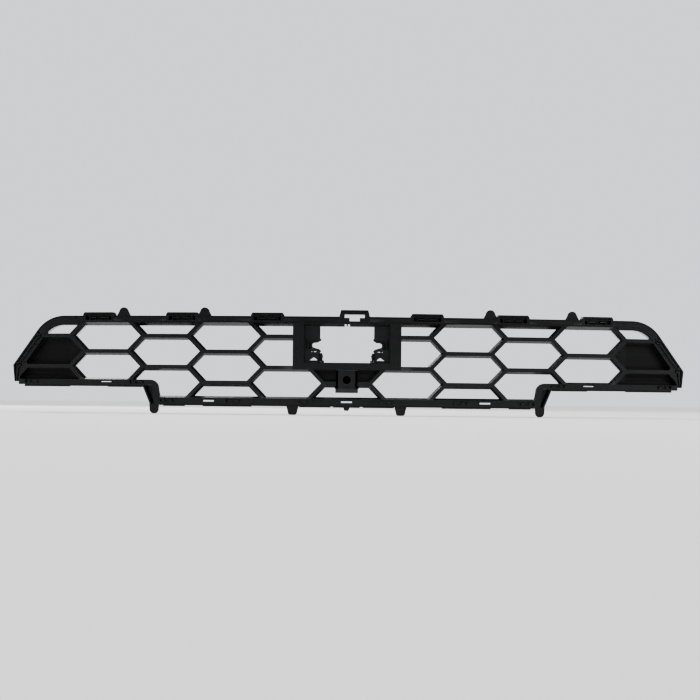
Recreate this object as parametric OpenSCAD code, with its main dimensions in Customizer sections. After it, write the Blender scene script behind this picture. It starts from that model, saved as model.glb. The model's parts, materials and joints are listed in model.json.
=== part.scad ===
// Lower front grille of a car: a honeycomb mesh in a rail frame, swept back at both ends.
// The origin is the mouth of the camera bore. X runs along the grille, the front faces -Y, Z is up.

/* [Plan form] */
// Radius of the curve that sweeps the ends back, seen from above
bow_r = 2500; // [2400:50:2800]
// Depth of the mesh bars, front to back
mesh_depth = 16; // [15:0.5:17]
// Wall thickness of the moulded channels
wall = 3; // [2.5:0.1:3.2]

/* [Honeycomb] */
// Distance between neighbouring columns of cells
col_pitch = 106; // [105:0.5:107]
// Distance between neighbouring cells of one column
row_pitch = 54; // [53.5:0.5:54.5]
// Half length of a horizontal bar, between the joints
bar_half = 40; // [39:0.5:41]
// Width of a bar's front face
bar_w = 6.8; // [6:0.2:7.2]
// Height of the slanted lip under a horizontal bar
lip = 3.8; // [3:0.2:4]
// Width of the slanted lip on the outer walls of a cell
side_lip = 3.3; // [2.8:0.1:3.5]
// Height of the slanted lip under the top rail
rail_lip = 5.6; // [5:0.2:6]
// Depth of the lips
lip_depth = 7; // [6:0.5:8]

/* [Frame] */
// Height of the top rail's front face
rail_h = 11.4; // [11:0.2:12]
// Depth of the top rail's roof
roof_depth = 26; // [24:1:30]
// Half width of the lowest part, up to the step
step_x = 327; // [325:1:329]
// Radius of the rounded step
step_r = 15; // [13:1:16]
// Radius of the rounded shoulders
shoulder_r = 62; // [60:1:64]
// Lean of the slanted ends, from upright
end_lean = 36; // [35:0.5:37]

/* [Sensor window] */
// Half width of the sensor frame
frame_half = 94; // [93:0.5:95]
// Width of a pillar
pillar_w = 19.5; // [19:0.5:21]
// Radius of the notches that hold the sensor
notch_r = 4.3; // [4:0.1:4.5]

/* [Camera] */
// Radius of the camera bore
bore_r = 7; // [5:0.5:9]
// Width of the camera housing
housing_w = 30; // [28:1:31]

/* [Snap clips] */
// Width of a clip frame
clip_w = 57; // [54:1:58]
// Distances of the clips from the middle
clip_x = 139; // [137:1:141]
// Distance between neighbouring clips of one side
clip_pitch = 150; // [148:1:152]

/* [Hidden] */

satin_black = [0.07, 0.07, 0.075];
trim_black = [0.10, 0.10, 0.105];
deep_black = [0.05, 0.05, 0.055];
screw_grey = [0.35, 0.35, 0.36];

bow_fn = 720;
round_fn = 48;
sides = [-1, 1];

// Heights. Odd columns have a cell centre at mid_z, even columns half a row away.
mid_z = 47.5;
rail_z = mid_z + row_pitch - bar_w / 2;
top_z = rail_z + rail_h;
foot_z = mid_z - 1.5 * row_pitch + bar_w / 2;
foot_lip = 3.3;
side_z = 0;
side_rail_lip = 2.6;
cross_z = mid_z - row_pitch / 2 - bar_w / 2;
cross_h = 12.4;
foot_low = -44;
side_low = -12;

// One cell, as the opening in the front face
joint_half = col_pitch - bar_half;
bar_angle = atan2(row_pitch / 2, joint_half - bar_half);
tip_half = joint_half - bar_w / 2 / sin(bar_angle);
flat_half = bar_half - bar_w / 2 * tan(bar_angle / 2);
cell_h = row_pitch / 2 - bar_w / 2;
lip_angle = atan(lip / lip_depth);

// The slanted end: a rounded shoulder, a straight slant and a short foot
shoulder = [501, top_z - shoulder_r];
end_band = 16.5;
end_corner_z = 22;
end_foot_x = 593;
end_foot_z = -7;
shoulder_split = 473;
panel_depth = 9;
panel_back = 14.5;
panel_x = 5 * col_pitch;
centre_gap = 18.5;

function slope(x) = asin(x / bow_r);
function front_y(x) = bow_r - sqrt(bow_r * bow_r - x * x);

// ---- helpers ----

module on_side(side) {
    if (side < 0) mirror([1, 0, 0]) children();
    else children();
}

// A flat outline in X and Z, given depth along Y
module extrude_y(y0, y1) {
    translate([0, y1, 0]) rotate([90, 0, 0]) linear_extrude(y1 - y0) children();
}

// The same, but following the curve of the front, from depth v0 to depth v1 behind it
module bowed(v0, v1) {
    intersection() {
        extrude_y(-20, 150) children();
        translate([0, bow_r, -90]) linear_extrude(240) difference() {
            circle(r = bow_r - v0, $fn = bow_fn);
            circle(r = bow_r - v1, $fn = bow_fn);
        }
    }
}

// Puts a piece on the front face at x, turned to stand square to it
module place(x) {
    translate([x, front_y(x), 0]) rotate([0, 0, slope(x)]) children();
}

module block(x0, x1, y0, y1, z0, z1) {
    translate([x0, y0, z0]) cube([x1 - x0, y1 - y0, z1 - z0]);
}

module rect(x0, x1, z0, z1) {
    translate([x0, z0]) square([x1 - x0, z1 - z0]);
}

// A round bar or hole along Y, in a local frame
module rod_y(r, v0, v1, x = 0, z = 0) {
    translate([x, v1, z]) rotate([90, 0, 0]) cylinder(h = v1 - v0, r = r, $fn = round_fn);
}

// ---- outlines ----

function arc(centre, r, a0, a1, n) =
    [for (i = [0 : n]) centre + r * [cos(a0 + (a1 - a0) * i / n), sin(a0 + (a1 - a0) * i / n)]];

function back(path) = [for (i = [len(path) - 1 : -1 : 0]) path[i]];

// The slanted end, at an inset from the outer edge, from the foot up to the shoulder joint
function slant_path(inset) =
    let (slant = shoulder + (shoulder_r - inset) * [cos(end_lean), sin(end_lean)])
    [[end_foot_x - 0.5 * inset, end_foot_z],
        [slant.x + (slant.y - end_corner_z) * tan(end_lean), end_corner_z], slant];

// The inner edge of the end, at a height between the foot and the corner
function inner_edge(z) =
    let (path = slant_path(end_band), part = (z - end_foot_z) / (end_corner_z - end_foot_z))
    path[0].x + part * (path[1].x - path[0].x);

function shoulder_arc(inset, from) = arc(shoulder, shoulder_r - inset, from, 90, 16);

// Round the shoulder and along the top edge to the middle, at an inset from the outer edge
function top_path(inset, from = end_lean) = concat(shoulder_arc(inset, from), [[0, top_z - inset]]);

// The same for the opening in the top frame, which the mesh fills
function opening_path(grow, from = end_lean) =
    concat(shoulder_arc(end_band - grow, from), [[shoulder_split + grow, top_z - end_band + grow],
        [shoulder_split + grow, rail_z + grow], [0, rail_z + grow]]);

module strip(outer, inner) {
    polygon(concat(outer, back(inner)));
}

// The rounded step between the low middle and the higher side
step_top = side_z - side_rail_lip;
split_x = step_x + 3 + step_r;
step_path = concat([[step_x, foot_z - foot_lip]],
    arc([split_x, step_top - step_r], step_r, 180, 90, 10));

module mesh_region() {
    low = foot_z - foot_lip;
    pocket_z = cross_z + bar_w / 2 - cell_h;
    pocket_x = tip_half - bar_w / 2 / tan(bar_angle);
    opening = opening_path(0);
    polygon(concat([[0, low]], step_path, [[inner_edge(step_top), step_top], slant_path(end_band)[1]],
        [for (i = [0 : len(opening) - 2]) opening[i]],
        [[frame_half, rail_z], [frame_half, cross_z], [pocket_x, cross_z], [flat_half, pocket_z],
        [centre_gap, pocket_z], [centre_gap, foot_z + 5], [0, foot_z + 5]]));
}

// Half width of a cell at a height from its middle
function cell_half(dz) = tip_half - abs(dz) / tan(bar_angle);

// A cell, cut off at a floor and a roof, with its left and right walls moved in
module cell_outline(x, z, low, high, left = 0, right = 0) {
    tip_z = min(max(z, low), high);
    polygon([[x - cell_half(high - z) + left, high], [x - cell_half(tip_z - z) + left, tip_z],
        [x - cell_half(low - z) + left, low], [x + cell_half(low - z) - right, low],
        [x + cell_half(tip_z - z) - right, tip_z], [x + cell_half(high - z) - right, high]]);
}

// The space under a wall that slants inwards from the front face
module under_lip(x, z, wall_angle) {
    translate([x, front_y(x), z]) rotate([0, 0, slope(x)]) rotate([0, wall_angle, 0])
        rotate([-lip_angle, 0, 0]) block(-200, 200, -80, 160, -300, 0);
}

// ---- the mesh ----

// One opening of the right half. A rail cuts some of them off at the roof or at the floor.
// Its mouth has slanted walls at the top and on the outer side; behind them it runs straight.
module cell_cut(x, z, roof, roof_lip, low, low_lip) {
    relief = 0.3;
    slanted = low_lip > 0;
    mouth_low = low - (slanted ? low_lip : relief);
    mouth_depth = 12;
    intersection() {
        extrude_y(-20, 150) cell_outline(x, z, mouth_low - (slanted ? 1 : 0), roof + 1, -relief, -1);
        under_lip(x, roof, 0);
        under_lip(x + tip_half, z, bar_angle);
        under_lip(x + tip_half, z, 180 - bar_angle);
        translate([x, front_y(x), mouth_low]) rotate([0, 0, slope(x)]) rotate([slanted ? lip_angle : 0, 0, 0])
            block(-200, 200, -80, 160, slanted ? 0 : -1, 300);
        place(x) block(-90, 90, -60, mouth_depth, -200, 200);
    }
    extrude_y(-20, 150) cell_outline(x, z, low, roof - roof_lip, 0, side_lip / sin(bar_angle));
}

module plain_cell(x, z) {
    extrude_y(-20, 150) cell_outline(x, z, z - cell_h, z + cell_h);
}

module mesh_cells() {
    for (column = [0 : 4]) {
        x = column * col_pitch;
        even = column % 2 == 0;
        low = column == 4 ? side_z : foot_z;
        low_lip = column == 4 ? side_rail_lip : foot_lip;
        // the middle column has only its lowest cell, and the fourth rests on the side rail
        for (row = [column == 4 ? 0 : -1 : column == 0 ? -1 : 1]) {
            z = mid_z + (even ? row - 0.5 : row) * row_pitch;
            meets_roof = z + cell_h > rail_z - 1;
            meets_floor = z - cell_h < low + 1;
            cell_cut(x, z, meets_roof ? rail_z : z + cell_h, meets_roof ? rail_lip : lip,
                meets_floor ? low : z - cell_h, meets_floor ? low_lip : 0);
        }
    }
    for (row = [-1 : 1]) {
        plain_cell(panel_x, mid_z + row * row_pitch);
    }
}

// The outline of the blanked fifth column, as its panel fills it from behind
module panel_outline() {
    flat_x = panel_x - flat_half;
    tip_x = panel_x - tip_half;
    lower_z = mid_z - row_pitch;
    high = mid_z + cell_h + bar_w;
    inner_r = shoulder_r - end_band;
    polygon(concat([[tip_x, mid_z], [flat_x, mid_z + cell_h], [flat_x, high]],
        arc(shoulder, inner_r, asin((high - shoulder.y) / inner_r), end_lean, 4),
        [slant_path(end_band)[1], [inner_edge(step_top), step_top],
        [tip_x + (step_top - lower_z) / tan(bar_angle), step_top],
        [flat_x, lower_z + cell_h], [flat_x, mid_z - cell_h]]));
}

module panel_screw_spots() {
    for (spot = [[-25, mid_z + row_pitch / 2], [-25, mid_z - row_pitch / 2], [25, mid_z - row_pitch / 2]]) {
        place(panel_x + spot.x) translate([0, 0, spot.y]) children();
    }
}

module mesh_half() {
    difference() {
        bowed(0, mesh_depth) mesh_region();
        mesh_cells();
        bowed(panel_depth, mesh_depth + 10) panel_outline();
        panel_screw_spots() rod_y(1.6, 4, panel_depth + 1);
    }
}

module mesh_left() { color(satin_black) on_side(-1) mesh_half(); }
module mesh_right() { color(satin_black) mesh_half(); }

// ---- rails ----

// The cut-out in the top rail that a clip frame or the centre hook fills
clip_floor = rail_z + 2.5;
clip_depth = 14;
hook_x = 12.7;
hook_w = 53;
groove = 0.9;

module clip_places() {
    for (side = sides) {
        for (n = [0 : 2]) {
            place(side * (clip_x + n * clip_pitch)) children();
        }
    }
}

module top_rail() {
    color(satin_black) difference() {
        for (side = sides) {
            on_side(side) {
                bowed(0, wall) strip(top_path(0), opening_path(0));
                bowed(0, roof_depth) strip(top_path(0), top_path(wall));
                bowed(0, mesh_depth + 2) strip(opening_path(wall), opening_path(0));
            }
        }
        clip_places() block(-clip_w / 2, clip_w / 2, -5, clip_depth, clip_floor, top_z + 5);
        block(hook_x - hook_w / 2, hook_x + hook_w / 2, -5, roof_depth + 5, clip_floor, top_z + 5);
        for (side = sides) {
            on_side(side) {
                bowed(-1, groove) strip(top_path(1.4, end_lean - 2), top_path(2.6, end_lean - 2));
                bowed(-1, groove) strip(opening_path(2, end_lean - 2), opening_path(1.2, end_lean - 2));
            }
        }
    }
}

// Hooks in windows of the lower rails, at both sides
hook_spots = [[560, -6.5], [367, -6.5], [313, -38.5], [196, -38.5], [67, -38.5]];
hook_window_w = 26;
hook_window_h = 5.6;

module lower_windows() {
    for (spot = hook_spots) {
        place(spot.x) block(-hook_window_w / 2, hook_window_w / 2, -5, wall + 0.5,
            spot.y - hook_window_h / 2, spot.y + hook_window_h / 2);
    }
}

module lower_slots() {
    for (spot = [[423, -6], [240, -38.5]]) {
        place(spot.x) block(-9.5, 9.5, -5, wall + 0.5, spot.y - 1.4, spot.y + 1.4);
    }
}

// Outline of the leg that joins the bottom rail to a side rail
leg_end = 352;
module leg_outline() {
    polygon(concat([[step_x - 0.01, foot_low]], step_path, [[leg_end, step_top], [leg_end, side_low],
        [341, side_low], [337, foot_low]]));
}

module bottom_rail() {
    high = foot_z - foot_lip;
    color(satin_black) for (side = sides) {
        on_side(side) difference() {
            union() {
                bowed(0, wall) rect(0, step_x, foot_low, high);
                bowed(0, mesh_depth + 2) rect(0, step_x, high - wall, high);
                bowed(0, roof_depth) rect(0, step_x, foot_low, foot_low + wall);
                bowed(0, wall) leg_outline();
                bowed(0, mesh_depth + 2) difference() {
                    leg_outline();
                    translate([wall, -wall]) leg_outline();
                }
            }
            lower_windows();
            lower_slots();
            block(-1, 9.5, -5, wall + 0.5, -39.9, -37.1);
        }
    }
}

module side_rail() {
    end_x = inner_edge(step_top) + 1.5;
    difference() {
        union() {
            bowed(0, wall) rect(leg_end, end_x, side_low, step_top);
            bowed(0, mesh_depth + 2) rect(leg_end, end_x, step_top - wall, step_top);
            bowed(0, roof_depth - 2) rect(leg_end, end_x, side_low, side_low + wall);
            bowed(0, mesh_depth + 2) strip(slant_path(end_band - 3.5), slant_path(end_band));
        }
        lower_windows();
        lower_slots();
    }
}

module side_rail_left() { color(satin_black) on_side(-1) side_rail(); }
module side_rail_right() { color(satin_black) side_rail(); }

// ---- ends ----

// A place on the slanted end, given by its inset from the edge and its drop from the shoulder joint
module on_slant(inset, drop) {
    reach = shoulder_r - inset;
    x = shoulder.x + reach * cos(end_lean) + drop * sin(end_lean);
    z = shoulder.y + reach * sin(end_lean) - drop * cos(end_lean);
    translate([x, front_y(x), z]) rotate([0, 0, slope(x)]) rotate([0, end_lean - 90, 0]) children();
}

snap_inset = 7.5;
snap_drops = [7, 69];

module end_trim() {
    band_end = end_band - 3.5;
    difference() {
        union() {
            bowed(3, 8) strip(slant_path(0), slant_path(band_end));
            bowed(0, 22) strip(slant_path(0), slant_path(wall - 0.4));
            bowed(0.6, 5) strip(slant_path(5), slant_path(8.4));
            bowed(1.2, 5) strip(slant_path(band_end - 2.2), slant_path(band_end));
        }
        for (drop = snap_drops) {
            on_slant(snap_inset, drop) block(-5, 5, -3, 5, -3, 3);
        }
    }
}

module end_trim_left() { color(trim_black) on_side(-1) end_trim(); }
module end_trim_right() { color(trim_black) end_trim(); }

module end_snaps() {
    color(trim_black) for (side = sides) {
        on_side(side) for (drop = snap_drops) {
            on_slant(snap_inset, drop) difference() {
                union() {
                    block(-4.5, 4.5, 2, 5, -2.5, 2.5);
                    block(-4.5, -1.5, -1, 2, -2.5, 2.5);
                    block(1.5, 4.5, -0.2, 2, -2.5, 2.5);
                }
                rod_y(0.9, -2, 6);
            }
        }
    }
}

// The inner edge of the end at any height up to the shoulder
function side_edge(z) = z < end_corner_z ? inner_edge(z) :
    slant_path(end_band)[1].x - (z - end_corner_z) * tan(end_lean);

module end_panel() {
    recess = 2.5;
    border = 5;
    flat_x = panel_x - flat_half;
    difference() {
        bowed(panel_depth, panel_back) panel_outline();
        for (field = [[side_z + 4, mid_z - cell_h - bar_w - 3], [mid_z - cell_h + 3, mid_z + cell_h - 3]]) {
            bowed(panel_depth - 1, panel_depth + recess) polygon([[flat_x, field[0]],
                [side_edge(field[0]) - border, field[0]], [side_edge(field[1]) - border, field[1]],
                [flat_x, field[1]]]);
        }
        panel_screw_spots() rod_y(1.6, panel_depth - 1, panel_back + 1);
    }
}

module end_panel_left() { color(deep_black) on_side(-1) end_panel(); }
module end_panel_right() { color(deep_black) end_panel(); }

module panel_screws() {
    color(screw_grey) for (side = sides) {
        on_side(side) panel_screw_spots() {
            rod_y(1.5, 5, panel_back + 0.5);
            difference() {
                rod_y(3.4, panel_back, panel_back + 2);
                block(-0.4, 0.4, panel_back + 1.2, panel_back + 3, -2.2, 2.2);
                block(-2.2, 2.2, panel_back + 1.2, panel_back + 3, -0.4, 0.4);
            }
        }
    }
}

// ---- sensor window ----

frame_depth = 18;
pillar_in = frame_half - pillar_w;
pillar_mid = frame_half - pillar_w / 2;
boss_z = [38, 84];
flange_t = 2.5;

module sensor_frame() {
    skin = wall;
    color(satin_black) {
        difference() {
            bowed(0, frame_depth) difference() {
                rect(-frame_half, frame_half, cross_z, rail_z);
                rect(-pillar_in, pillar_in, cross_z + cross_h, rail_z + 1);
            }
            bowed(skin, frame_depth + 5) difference() {
                rect(-frame_half + skin, frame_half - skin, cross_z + skin, rail_z - skin);
                rect(-pillar_in - skin, pillar_in + skin, cross_z + cross_h - skin, rail_z + 1);
            }
        }
        for (side = sides) {
            on_side(side) for (z = boss_z) {
                place(pillar_mid) difference() {
                    rod_y(5, skin - 0.5, frame_depth - 0.1, 0, z);
                    rod_y(1.9, skin + 2, frame_depth + 1, 0, z);
                }
            }
        }
        lintel();
    }
}

// The slanted beam under the top rail, open at its middle around a small peg
lintel_z = rail_z - rail_lip;
module lintel() {
    for (side = sides) {
        on_side(side) {
            difference() {
                bowed(0, 16) rect(4.6, pillar_in + 1, lintel_z, rail_z);
                translate([0, 1, rail_z - 1.2]) rotate([-atan(rail_lip / lip_depth), 0, 0])
                    block(-200, 200, -80, 160, -300, 0);
            }
            bowed(-0.8, 2) rect(52, 69.5, rail_z - 1.6, rail_z);
        }
    }
    block(-6, 6, 2, 14, rail_z - 1.6, rail_z);
    block(-1, 1, 3, 6, lintel_z, rail_z - 1);
}

// The latch and its seat stand on the crossbar, at the window's side
latch_x = 44.2;
latch_z = cross_z + cross_h + 3.3;
latch_r = 2.2;
latch_front = 10;
latch_back = 18.5;
notch_x = 56.4;
notch_z = 59.7;
plate_v = 8;

module sensor_bracket() {
    cross_top = cross_z + cross_h;
    side_x = pillar_in - flange_t;
    arm_end = frame_depth + 2;
    shelf_z = notch_z + 10;
    difference() {
        union() {
            // the upper plate, with a shelf under it
            bowed(plate_v, plate_v + flange_t) rect(46.8, side_x + 0.5, shelf_z + 1.5, lintel_z);
            bowed(plate_v, arm_end) rect(46.8, 69.2, shelf_z - 1.8, shelf_z + 2);
            bowed(plate_v, arm_end) translate([47.4, shelf_z - 0.3]) circle(r = 2.3, $fn = round_fn);
            // the walls beside the notch
            bowed(plate_v, arm_end) rect(67.2, 69.2, 50, shelf_z);
            bowed(frame_depth - 3, frame_depth - 1) rect(61, side_x + 0.5, 51, shelf_z + 3);
            bowed(frame_depth - 3, frame_depth - 1) rect(49, 62, notch_z + notch_r + 1.5, shelf_z + 1);
            bowed(plate_v, frame_depth) rect(side_x, pillar_in, cross_top, lintel_z);
            bowed(frame_depth, frame_depth + flange_t)
                rect(side_x, frame_half - 3, cross_top + 2, lintel_z - 0.5);
            // the notch: a half ring with two arms that flare towards the window
            bowed(plate_v, arm_end) difference() {
                translate([notch_x, notch_z]) circle(r = notch_r + 2.7, $fn = round_fn);
                translate([notch_x, notch_z]) circle(r = notch_r, $fn = round_fn);
                rect(0, notch_x, 0, 100);
            }
            bowed(plate_v, arm_end) polygon([[notch_x + 0.1, notch_z + notch_r],
                [50.5, notch_z + notch_r + 0.8], [46.2, shelf_z - 2], [46.8, shelf_z],
                [50.5, shelf_z - 2.7], [notch_x + 0.1, notch_z + notch_r + 2.7]]);
            bowed(plate_v, arm_end) polygon([[notch_x + 0.1, notch_z - notch_r],
                [50.5, notch_z - 6.2], [46, 51.4], [45.2, 49.6], [46.8, 47.4], [50.5, 50.2],
                [notch_x + 0.1, notch_z - notch_r - 2.7]]);
            // the front wall under the notch
            bowed(plate_v, plate_v + flange_t) rect(48.9, side_x + 0.5, cross_top, 53.6);
            bowed(plate_v, plate_v + flange_t) rect(46.8, 50, 45, 50.5);
            bowed(plate_v, plate_v + 5) rect(48.9, side_x + 0.5, cross_top, latch_z - 0.4);
            // seat of the latch, and a wall behind the latch
            block(latch_x - 4, 52, latch_front - 0.6, latch_back + 1.5, cross_top, latch_z + 0.8);
            block(latch_x - 1, 52, latch_back + 0.6, latch_back + 2.4, cross_top, 46.5);
            block(49.5, 52, plate_v + 1, latch_back + 2.4, cross_top + 4.2, 46.5);
        }
        rod_y(latch_r + 0.3, 0, 30, latch_x, latch_z);
        // the arch, and two small slots over it
        bowed(plate_v - 2, frame_depth - 4) polygon([[50.4, 33.6], [53, 35.6], [56, 38.2], [58.8, 38.2],
            [62, 35.6], [65.2, 33.6]]);
        bowed(plate_v - 2, frame_depth - 4) rect(60.4, 61.6, 48, 49.2);
        bowed(plate_v - 2, frame_depth - 4) rect(53.2, 57.6, 48, 49.2);
        for (z = boss_z) {
            place(pillar_mid) rod_y(2.2, frame_depth - 3, frame_depth + 6, 0, z);
        }
    }
}

module sensor_bracket_left() { color(trim_black) on_side(-1) sensor_bracket(); }
module sensor_bracket_right() { color(trim_black) sensor_bracket(); }

// A sprung finger on a round foot, bulging into the window
module sensor_latch() {
    bulge = [latch_x - 0.3, latch_z + 8.5];
    rod_y(latch_r, latch_front, latch_back, latch_x, latch_z);
    rod_y(2.3, latch_front, latch_back, bulge.x, bulge.y);
    extrude_y(latch_front, latch_back) polygon([[latch_x - 1.2, latch_z], [latch_x + 1.1, latch_z],
        [bulge.x + 1.1, bulge.y], [bulge.x - 1.9, bulge.y]]);
}

module sensor_latch_left() { color(trim_black) on_side(-1) sensor_latch(); }
module sensor_latch_right() { color(trim_black) sensor_latch(); }

module bracket_screws() {
    head_v = frame_depth + flange_t;
    color(screw_grey) for (side = sides) {
        on_side(side) for (z = boss_z) {
            place(pillar_mid) translate([0, 0, z]) {
                rod_y(1.8, 7, head_v + 0.5);
                difference() {
                    rod_y(3.8, head_v, head_v + 2.2);
                    block(-0.4, 0.4, head_v + 1.2, head_v + 3, -2.4, 2.4);
                    block(-2.4, 2.4, head_v + 1.2, head_v + 3, -0.4, 0.4);
                }
            }
        }
    }
}

// ---- camera ----

housing_top = 15.6;
housing_low = -15;
housing_depth = 22;
panel_front = 7;

module camera_panel() {
    edge_top = cross_z;
    edge_low = cross_z + bar_w / 2 - cell_h;
    run = (edge_top - edge_low) / tan(bar_angle);
    color(deep_black) {
        for (side = sides) {
            on_side(side) {
                difference() {
                    bowed(panel_front, panel_front + flange_t) polygon([[centre_gap, edge_low],
                        [flat_half, edge_low], [flat_half + run, edge_top], [centre_gap, edge_top]]);
                    bowed(panel_front - 1, panel_front + 1.2)
                        rect(centre_gap + 3, flat_half + run - 4, edge_top - 6, edge_top + 1);
                }
                block(centre_gap, centre_gap + flange_t, panel_front + 1, housing_depth, edge_low, edge_top);
            }
        }
        difference() {
            block(-centre_gap - flange_t, centre_gap + flange_t, housing_depth, housing_depth + flange_t,
                housing_low, edge_top);
            block(-2.5, 2.5, housing_depth - 1, housing_depth + 5, housing_low - 1, housing_low + 5);
        }
    }
}

module camera_housing() {
    rim = housing_w / 2;
    color(trim_black) difference() {
        union() {
            block(-rim, rim, 0, housing_depth, housing_low, housing_top);
            rod_y(bore_r + 2, -0.8, 1);
        }
        rod_y(bore_r, -2, housing_depth + 1);
        // a way out for the cable, at the lower back
        block(-2.5, 2.5, housing_depth - 4, housing_depth + 1, housing_low - 1, -4);
        // hollow corners behind the face
        for (side = sides) {
            on_side(side) block(bore_r + 3, rim - 2, 3, housing_depth + 1, housing_low + 3, housing_top - 3);
        }
    }
}

module camera_ledge() {
    reach = centre_gap + 1;
    color(trim_black) rotate([90, 0, 90]) translate([0, 0, -reach]) linear_extrude(2 * reach)
        polygon([[-2.5, housing_low - 1.5], [0, housing_low], [mesh_depth, housing_low],
            [mesh_depth, housing_low - 3], [6, housing_low - 7.5], [1.5, housing_low - 7.5]]);
}

// ---- top hooks and clips ----

module centre_hook() {
    half = hook_w / 2;
    leg = 9;
    hook_top = 120.9;
    throat = 9;
    throat_z = top_z - 2.2;
    color(satin_black) translate([hook_x, 0, 0]) {
        difference() {
            extrude_y(0, clip_depth) polygon([[-half, clip_floor], [-half, top_z], [-half + 3, hook_top],
                [half - 3, hook_top], [half, top_z], [half, clip_floor]]);
            block(-half + leg, half - leg, -5, clip_depth + 5, throat_z, hook_top - 7.6);
            block(-throat, throat, -5, clip_depth + 5, clip_floor + 1, throat_z + 1);
            block(-half + 3, half - 3, -1, 0.8, hook_top - 3, hook_top - 2.2);
        }
    }
}

clip_top = 115.5;
clip_end = 5;
barrel_v = 8.6;
barrel_z = 110.4;
barrel_r = 1.5;
window_low = clip_floor + 1.8;
window_high = 108.5;
post_x = 17;

module clip_frame(x) {
    half = clip_w / 2;
    inner = half - clip_end;
    color(satin_black) place(x) difference() {
        union() {
            for (side = sides) {
                on_side(side) {
                    extrude_y(0, clip_depth) polygon([[inner, clip_floor], [half, clip_floor],
                        [half, clip_top - 4], [half - 2.5, clip_top], [inner, clip_top]]);
                    block(post_x - 1.5, post_x + 1.5, 3, clip_depth - 2, window_low - 0.5, barrel_z + 3);
                    translate([0, 0, clip_floor]) linear_extrude(clip_top - 1.5 - clip_floor)
                        polygon([[inner + 0.5, 0.2], [inner + 0.5, 6], [inner - 2.6, 6]]);
                }
            }
            block(-half, half, 0, clip_depth, clip_floor, window_low);
            block(-inner - 0.5, inner + 0.5, 3, 5.5, window_high, clip_top);
            block(-inner - 0.5, inner + 0.5, 0, 4, clip_top - 2.4, clip_top);
            block(-inner - 0.5, inner + 0.5, 1.2, 4, window_high + 0.6, window_high + 2.4);
            block(-inner - 0.5, inner + 0.5, clip_depth - 1.6, clip_depth, window_low - 0.5, window_high - 1);
        }
        rotate([0, 90, 0]) translate([-barrel_z, barrel_v, -post_x - 3])
            cylinder(h = 2 * post_x + 6, r = barrel_r + 0.3, $fn = round_fn);
    }
}

// A tongue hangs from a barrel between the posts; two lobes and a curved catch face the front
module clip_tongue(x) {
    reach = post_x - 2.2;
    low = window_low + 1.8;
    color(trim_black) place(x) difference() {
        union() {
            rotate([0, 90, 0]) translate([-barrel_z, barrel_v, -post_x - 1.3])
                cylinder(h = 2 * post_x + 2.6, r = barrel_r, $fn = round_fn);
            block(-reach, reach, barrel_v - 1.2, barrel_v + 1.2, low, barrel_z);
            for (side = sides) {
                on_side(side) {
                    block(5, reach, 4.8, barrel_v, low + 0.6, low + 3.8);
                    rotate([0, 90, 0]) translate([-low - 2, 4.4, 5])
                        cylinder(h = reach - 5, r = 2, $fn = round_fn);
                }
            }
            block(-6, 6, 5.8, barrel_v, low, window_high - 0.3);
        }
        translate([0, 0, window_high + 1]) rod_y(4.2, 0, 7);
    }
}

function clip_at(n) = n < 3 ? -(clip_x + (2 - n) * clip_pitch) : clip_x + (n - 3) * clip_pitch;

// ---- tabs and flanges ----

// A rounded tab, standing up from z = 0
module tab(base_half, tip_r, height) {
    extrude_y(1, 4.5)
        polygon(concat([[-base_half, 0], [base_half, 0]], arc([0, height - tip_r], tip_r, 10, 170, 16)));
    for (side = [-0.5, 0.5]) {
        block(side * base_half - 1, side * base_half + 1, 4, 10, 0, height * 0.35);
    }
}

// A tab with a flat end and rounded corners
module flat_tab(base_half, end_half, corner_r, height) {
    extrude_y(1, 4.5)
        polygon(concat([[-base_half, 0], [base_half, 0]],
            arc([end_half - corner_r, height - corner_r], corner_r, 15, 90, 6),
            arc([corner_r - end_half, height - corner_r], corner_r, 90, 165, 6)));
    for (side = [-0.5, 0.5]) {
        block(side * base_half - 1, side * base_half + 1, 4, 10, 0, height * 0.35);
    }
}

module top_tabs() {
    color(satin_black) for (x = [-393.5, -249, 249, 393.5]) {
        place(x) translate([0, 0, top_z]) tab(12, 8, 14.5);
    }
}

flange_low = foot_low - 2.5;

module bottom_tabs() {
    color(satin_black) for (side = sides) {
        on_side(side) {
            place(93.5) translate([0, 0, flange_low]) mirror([0, 0, 1]) flat_tab(10.4, 7.6, 3.5, 14.5);
            place(336.5) translate([0, 0, foot_low]) mirror([0, 0, 1]) tab(8.6, 8, 17.5);
        }
    }
}

module lower_flange_centre() {
    color(satin_black) {
        bowed(2, roof_depth - 2) rect(-step_x, step_x, flange_low, foot_low);
        bowed(1, 7) rect(-23, 23, flange_low - 1.6, flange_low + 0.5);
        for (side = sides) {
            on_side(side) {
                bowed(1, 7) rect(28, 82, flange_low - 1.6, flange_low + 0.5);
                bowed(1, 7) rect(165, 250, flange_low - 1.6, flange_low + 0.5);
                bowed(1, 7) rect(282, 320, flange_low - 1.6, flange_low + 0.5);
            }
        }
        // a small pointed tab under the middle
        bowed(2, 5) polygon([[-5.6, flange_low - 1], [5.6, flange_low - 1], [3.4, flange_low - 7],
            [-3.4, flange_low - 7]]);
    }
}

module lower_flange() {
    low = side_low - 2.5;
    bowed(2, roof_depth - 4) rect(leg_end - 1, 574, low, side_low);
    bowed(1, 7) rect(358, 420, low - 1.2, low + 0.5);
    bowed(1, 7) rect(490, 574, low - 1.2, low + 0.5);
    // beside the leg: a web set back, and an edge that runs down to the foot
    bowed(1, 13) polygon([[leg_end + 2.8, side_low], [leg_end + 6, side_low], [344.4, foot_low],
        [341.2, foot_low]]);
    bowed(10, 12) polygon([[338, side_low], [leg_end + 4, side_low], [342, foot_low], [332, foot_low]]);
}

module lower_flange_left() { color(satin_black) on_side(-1) lower_flange(); }
module lower_flange_right() { color(satin_black) lower_flange(); }

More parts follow.
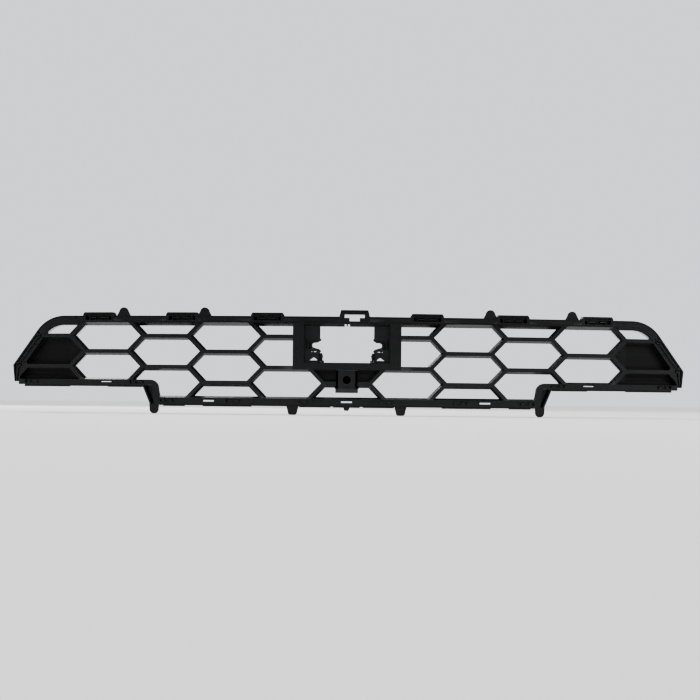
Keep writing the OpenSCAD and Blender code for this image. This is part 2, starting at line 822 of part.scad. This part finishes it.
// Small hooks behind the windows of the lower rails. Each fills its rail from floor to roof.
module lower_hooks() {
    color(trim_black) for (side = sides) {
        on_side(side) for (spot = hook_spots) {
            high = spot.y < side_low;
            floor_z = (high ? foot_low : side_low) + wall;
            roof_z = (high ? foot_z - foot_lip : step_top) - wall;
            place(spot.x) difference() {
                union() {
                    block(-14, 14, wall + 0.7, wall + 2.6, floor_z, roof_z);
                    block(-9, -4, 0.6, wall + 1, floor_z + 0.4, roof_z - 0.4);
                    block(4, 9, 0.6, wall + 1, floor_z + 0.4, roof_z - 0.4);
                }
                translate([0, 0, floor_z]) rotate([35, 0, 0]) block(-20, 20, -8, 0.6, -2, 8);
            }
        }
    }
}

mesh_left();
mesh_right();
top_rail();
bottom_rail();
side_rail_left();
side_rail_right();
end_trim_left();
end_trim_right();
end_panel_left();
end_panel_right();
end_snaps();
sensor_frame();
sensor_bracket_left();
sensor_bracket_right();
sensor_latch_left();
sensor_latch_right();
bracket_screws();
panel_screws();
camera_panel();
camera_housing();
camera_ledge();
centre_hook();
clip_frame(clip_at(0));  // clip_frame_1
clip_frame(clip_at(1));  // clip_frame_2
clip_frame(clip_at(2));  // clip_frame_3
clip_frame(clip_at(3));  // clip_frame_4
clip_frame(clip_at(4));  // clip_frame_5
clip_frame(clip_at(5));  // clip_frame_6
clip_tongue(clip_at(0));  // clip_tongue_1
clip_tongue(clip_at(1));  // clip_tongue_2
clip_tongue(clip_at(2));  // clip_tongue_3
clip_tongue(clip_at(3));  // clip_tongue_4
clip_tongue(clip_at(4));  // clip_tongue_5
clip_tongue(clip_at(5));  // clip_tongue_6
top_tabs();
bottom_tabs();
lower_flange_left();
lower_flange_centre();
lower_flange_right();
lower_hooks();
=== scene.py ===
import json
import math

import bpy
from mathutils import Matrix, Vector


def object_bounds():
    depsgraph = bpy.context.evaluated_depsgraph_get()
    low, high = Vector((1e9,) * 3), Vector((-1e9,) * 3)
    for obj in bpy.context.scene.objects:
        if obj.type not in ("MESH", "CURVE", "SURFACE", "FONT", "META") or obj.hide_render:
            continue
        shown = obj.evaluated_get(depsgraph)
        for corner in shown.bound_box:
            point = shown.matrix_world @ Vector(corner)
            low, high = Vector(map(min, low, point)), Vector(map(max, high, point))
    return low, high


# The looks of a black car grille: fine-grained satin plastic in a pale studio.
# Lengths are in metres in the row frame: X along the grille, the front faces -Y, Z is up.

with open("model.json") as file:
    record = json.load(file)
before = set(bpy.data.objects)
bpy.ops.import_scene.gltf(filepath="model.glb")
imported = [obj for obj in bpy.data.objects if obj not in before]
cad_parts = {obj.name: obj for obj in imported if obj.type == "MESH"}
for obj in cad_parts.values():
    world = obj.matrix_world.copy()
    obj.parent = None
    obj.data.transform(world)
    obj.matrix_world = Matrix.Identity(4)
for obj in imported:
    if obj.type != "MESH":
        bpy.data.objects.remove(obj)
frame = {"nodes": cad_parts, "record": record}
cad_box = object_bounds()

FLOOR_Z = cad_box[0][2]
EYE = (0.036, -2.5, -0.040)
AIM = (0.0052, 0.0, 0.0518)
ROLL = math.radians(0.6)
LENS = 74.4             # focal length in millimetres, on a 36 mm wide sensor
SENSOR = 36
FLOOR_HALF = 40.0       # half the side of the floor, far past the camera in every view


# ---- materials ----

def node(tree, kind, **values):
    made = tree.nodes.new(kind)
    for name, value in values.items():
        if name in made.inputs:
            made.inputs[name].default_value = value
        else:
            setattr(made, name, value)
    return made


def plastic(name, color, rough, grain=0.25, grain_scale=2600.0, edge_highlight_strength=0.5, coat=0.0):
    """Moulded plastic: grain in the bump, cloudy roughness, and a painted highlight, a lighter
    tint on edges found by Pointiness.
    """
    made = bpy.data.materials.new(name)
    made.use_nodes = True
    tree = made.node_tree
    tree.nodes.clear()
    link = tree.links.new
    out = tree.nodes.new("ShaderNodeOutputMaterial")
    shader = tree.nodes.new("ShaderNodeBsdfPrincipled")
    shader.inputs["IOR"].default_value = 1.5
    shader.inputs["Coat Weight"].default_value = coat
    shader.inputs["Coat Roughness"].default_value = 0.2
    place = tree.nodes.new("ShaderNodeTexCoord")

    # colour: slow mottling, then a painted highlight, a lighter tint where Pointiness reads an
    # edge, made patchy by noise
    mottle = node(tree, "ShaderNodeTexNoise", Scale=14.0, Detail=4.0, Roughness=0.6)
    tone = tree.nodes.new("ShaderNodeMapRange")
    tone.inputs["To Min"].default_value = 0.82
    tone.inputs["To Max"].default_value = 1.2
    base = tree.nodes.new("ShaderNodeMix")
    base.data_type = "RGBA"
    base.blend_type = "MULTIPLY"
    base.inputs["Factor"].default_value = 1.0
    base.inputs["A"].default_value = (*color, 1)
    link(place.outputs["Object"], mottle.inputs["Vector"])
    link(mottle.outputs["Fac"], tone.inputs["Value"])
    link(tone.outputs["Result"], base.inputs["B"])
    # painted highlight: convex edges get a lighter colour that stands in for the glints light
    # gives along edges
    geometry = tree.nodes.new("ShaderNodeNewGeometry")
    edge = tree.nodes.new("ShaderNodeMapRange")
    edge.inputs["From Min"].default_value = 0.505
    edge.inputs["From Max"].default_value = 0.56
    edge.inputs["To Max"].default_value = edge_highlight_strength
    highlight_patch_noise = node(tree, "ShaderNodeTexNoise", Scale=90.0, Detail=3.0, Roughness=0.7)
    painted_highlight_mask = tree.nodes.new("ShaderNodeMath")
    painted_highlight_mask.operation = "MULTIPLY"
    painted_highlight_tint = tree.nodes.new("ShaderNodeMix")
    painted_highlight_tint.data_type = "RGBA"
    painted_highlight_tint.inputs["B"].default_value = (*[min(1.0, 2.2 * c + 0.012) for c in color], 1)
    link(geometry.outputs["Pointiness"], edge.inputs["Value"])
    link(place.outputs["Object"], highlight_patch_noise.inputs["Vector"])
    link(edge.outputs["Result"], painted_highlight_mask.inputs[0])
    link(highlight_patch_noise.outputs["Fac"], painted_highlight_mask.inputs[1])
    link(painted_highlight_mask.outputs["Value"], painted_highlight_tint.inputs["Factor"])
    link(base.outputs["Result"], painted_highlight_tint.inputs["A"])
    link(painted_highlight_tint.outputs["Result"], shader.inputs["Base Color"])

    # roughness: clouds and faint flow marks along the mould
    flow = tree.nodes.new("ShaderNodeMapping")
    flow.inputs["Scale"].default_value = (3.0, 8.0, 30.0)
    clouds = node(tree, "ShaderNodeTexNoise", Scale=5.0, Detail=5.0, Roughness=0.65)
    spread = tree.nodes.new("ShaderNodeMapRange")
    spread.inputs["From Min"].default_value = 0.3
    spread.inputs["From Max"].default_value = 0.7
    spread.inputs["To Min"].default_value = max(0.05, rough - 0.07)
    spread.inputs["To Max"].default_value = min(1.0, rough + 0.09)
    link(place.outputs["Object"], flow.inputs["Vector"])
    link(flow.outputs["Vector"], clouds.inputs["Vector"])
    link(clouds.outputs["Fac"], spread.inputs["Value"])
    link(spread.outputs["Result"], shader.inputs["Roughness"])

    # bump: leather-like grain from cells and noise
    cells = node(tree, "ShaderNodeTexVoronoi", Scale=grain_scale)
    fine = node(tree, "ShaderNodeTexNoise", Scale=grain_scale * 0.6, Detail=2.0)
    both = tree.nodes.new("ShaderNodeMath")
    both.operation = "ADD"
    bump = tree.nodes.new("ShaderNodeBump")
    bump.inputs["Strength"].default_value = grain
    bump.inputs["Distance"].default_value = 0.00012
    link(place.outputs["Object"], cells.inputs["Vector"])
    link(place.outputs["Object"], fine.inputs["Vector"])
    link(cells.outputs["Distance"], both.inputs[0])
    link(fine.outputs["Fac"], both.inputs[1])
    link(both.outputs["Value"], bump.inputs["Height"])
    link(bump.outputs["Normal"], shader.inputs["Normal"])
    link(shader.outputs["BSDF"], out.inputs["Surface"])
    return made


def plated_steel(name):
    """Zinc-plated screw steel with turned marks."""
    # the same painted edge highlight as the plastic, weaker on the steel
    made = plastic(name, (0.42, 0.42, 0.44), 0.34, grain=0.12, grain_scale=1800.0, edge_highlight_strength=0.2)
    shader = next(n for n in made.node_tree.nodes if n.type == "BSDF_PRINCIPLED")
    shader.inputs["Metallic"].default_value = 1.0
    return made


MATERIALS = {
    "mesh_plastic": plastic("mesh_plastic", (0.010, 0.010, 0.0112), 0.33, coat=0.9),
    "rail_plastic": plastic("rail_plastic", (0.010, 0.010, 0.0112), 0.36, grain_scale=2200.0,
                            coat=0.6),
    "trim_plastic": plastic("trim_plastic", (0.013, 0.013, 0.0145), 0.3, grain=0.18, coat=0.8),
    "panel_plastic": plastic("panel_plastic", (0.008, 0.008, 0.0088), 0.55, grain=0.3),
    "camera_plastic": plastic("camera_plastic", (0.017, 0.017, 0.0185), 0.33, coat=0.8),
    "clip_plastic": plastic("clip_plastic", (0.016, 0.016, 0.0175), 0.33, grain=0.15, coat=0.7),
    "screw_steel": plated_steel("screw_steel"),
}

slots = {part["node"]: part["material_slot"] for part in frame["record"]["subparts"]}

# Bevel widths. The CAD meshes have split vertices along most hard edges, so the modifier
# rounds only the few edges whose faces share vertices.
BEVELS = {"mesh_left": 0.0007, "mesh_right": 0.0007, "top_rail": 0.0006, "bottom_rail": 0.0006,
          "side_rail_left": 0.0006, "side_rail_right": 0.0006, "camera_housing": 0.0006}
SMALL_BEVEL = 0.00035

for name, piece in frame["nodes"].items():
    piece.data.materials.clear()
    piece.data.materials.append(MATERIALS[slots[name]])
    bevel = piece.modifiers.new("soft_edges", "BEVEL")
    bevel.width = BEVELS.get(name, SMALL_BEVEL)
    bevel.segments = 2
    bevel.limit_method = "ANGLE"
    bevel.angle_limit = math.radians(35)
    bevel.harden_normals = False


# ---- studio ----

def studio_floor():
    """A plain pale floor that reaches far past the camera on every side."""
    corners = [(-1, -1), (1, -1), (1, 1), (-1, 1)]
    points = [(x * FLOOR_HALF, y * FLOOR_HALF, FLOOR_Z) for x, y in corners]
    mesh = bpy.data.meshes.new("studio_floor")
    mesh.from_pydata(points, [], [(0, 1, 2, 3)])
    made = bpy.data.objects.new("studio_floor", mesh)
    bpy.context.collection.objects.link(made)
    paper = bpy.data.materials.new("floor_paper")
    paper.use_nodes = True
    tree = paper.node_tree
    shader = tree.nodes["Principled BSDF"]
    shader.inputs["Roughness"].default_value = 0.9
    shader.inputs["Specular IOR Level"].default_value = 0.1
    fibres = node(tree, "ShaderNodeTexNoise", Scale=40.0, Detail=6.0)
    tint = tree.nodes.new("ShaderNodeMapRange")
    tint.inputs["To Min"].default_value = 0.76
    tint.inputs["To Max"].default_value = 0.80
    tree.links.new(fibres.outputs["Fac"], tint.inputs["Value"])
    tree.links.new(tint.outputs["Result"], shader.inputs["Base Color"])
    mesh.materials.append(paper)
    return made


def soft_light(name, at, to, size, power):
    """A square area light, size metres wide and power watts strong, turned to face a point."""
    data = bpy.data.lights.new(name, "AREA")
    data.shape = "SQUARE"
    data.size = size
    data.energy = power
    made = bpy.data.objects.new(name, data)
    made.location = at
    made.rotation_euler = (Vector(to) - Vector(at)).to_track_quat("-Z", "Y").to_euler()
    bpy.context.collection.objects.link(made)


studio_floor()
soft_light("key", (2.6, -1.8, 1.7), (0.2, 0, 0.02), 1.4, 30)
soft_light("fill", (-2.4, -1.4, 1.3), (0, 0, 0.02), 1.4, 8)
soft_light("rim", (-1.2, 2.2, 1.8), (0, 0, 0.02), 1.6, 30)

# a wide overhead light, the same all over the floor
overhead = bpy.data.lights.new("overhead", "SUN")
overhead.energy = 2.6
overhead.angle = math.radians(50)
bpy.context.collection.objects.link(bpy.data.objects.new("overhead", overhead))

# the world looks pale to camera rays only, and lights the scene just a little
world = bpy.data.worlds.new("studio")
world.use_nodes = True
tree = world.node_tree
tree.nodes.clear()
seen = node(tree, "ShaderNodeBackground", Color=(0.93, 0.95, 1.0, 1), Strength=0.80)
ambient = node(tree, "ShaderNodeBackground", Color=(0.9, 0.93, 1.0, 1), Strength=0.08)
path = tree.nodes.new("ShaderNodeLightPath")
pick = tree.nodes.new("ShaderNodeMixShader")
world_out = tree.nodes.new("ShaderNodeOutputWorld")
tree.links.new(path.outputs["Is Camera Ray"], pick.inputs["Fac"])
tree.links.new(ambient.outputs["Background"], pick.inputs[1])
tree.links.new(seen.outputs["Background"], pick.inputs[2])
tree.links.new(pick.outputs["Shader"], world_out.inputs["Surface"])
bpy.context.scene.world = world

camera = bpy.data.objects.new("camera", bpy.data.cameras.new("camera"))
camera.data.lens = LENS
camera.data.sensor_width = SENSOR
camera.data.clip_start = 0.05
look = (Vector(AIM) - Vector(EYE)).to_track_quat("-Z", "Y").to_matrix().to_4x4()
roll = Matrix.Rotation(ROLL, 4, "Z")
camera.matrix_world = Matrix.Translation(EYE) @ look @ roll
bpy.context.collection.objects.link(camera)
bpy.context.scene.camera = camera
bpy.context.scene.view_settings.view_transform = "AgX"
bpy.context.scene.view_settings.look = "AgX - High Contrast"
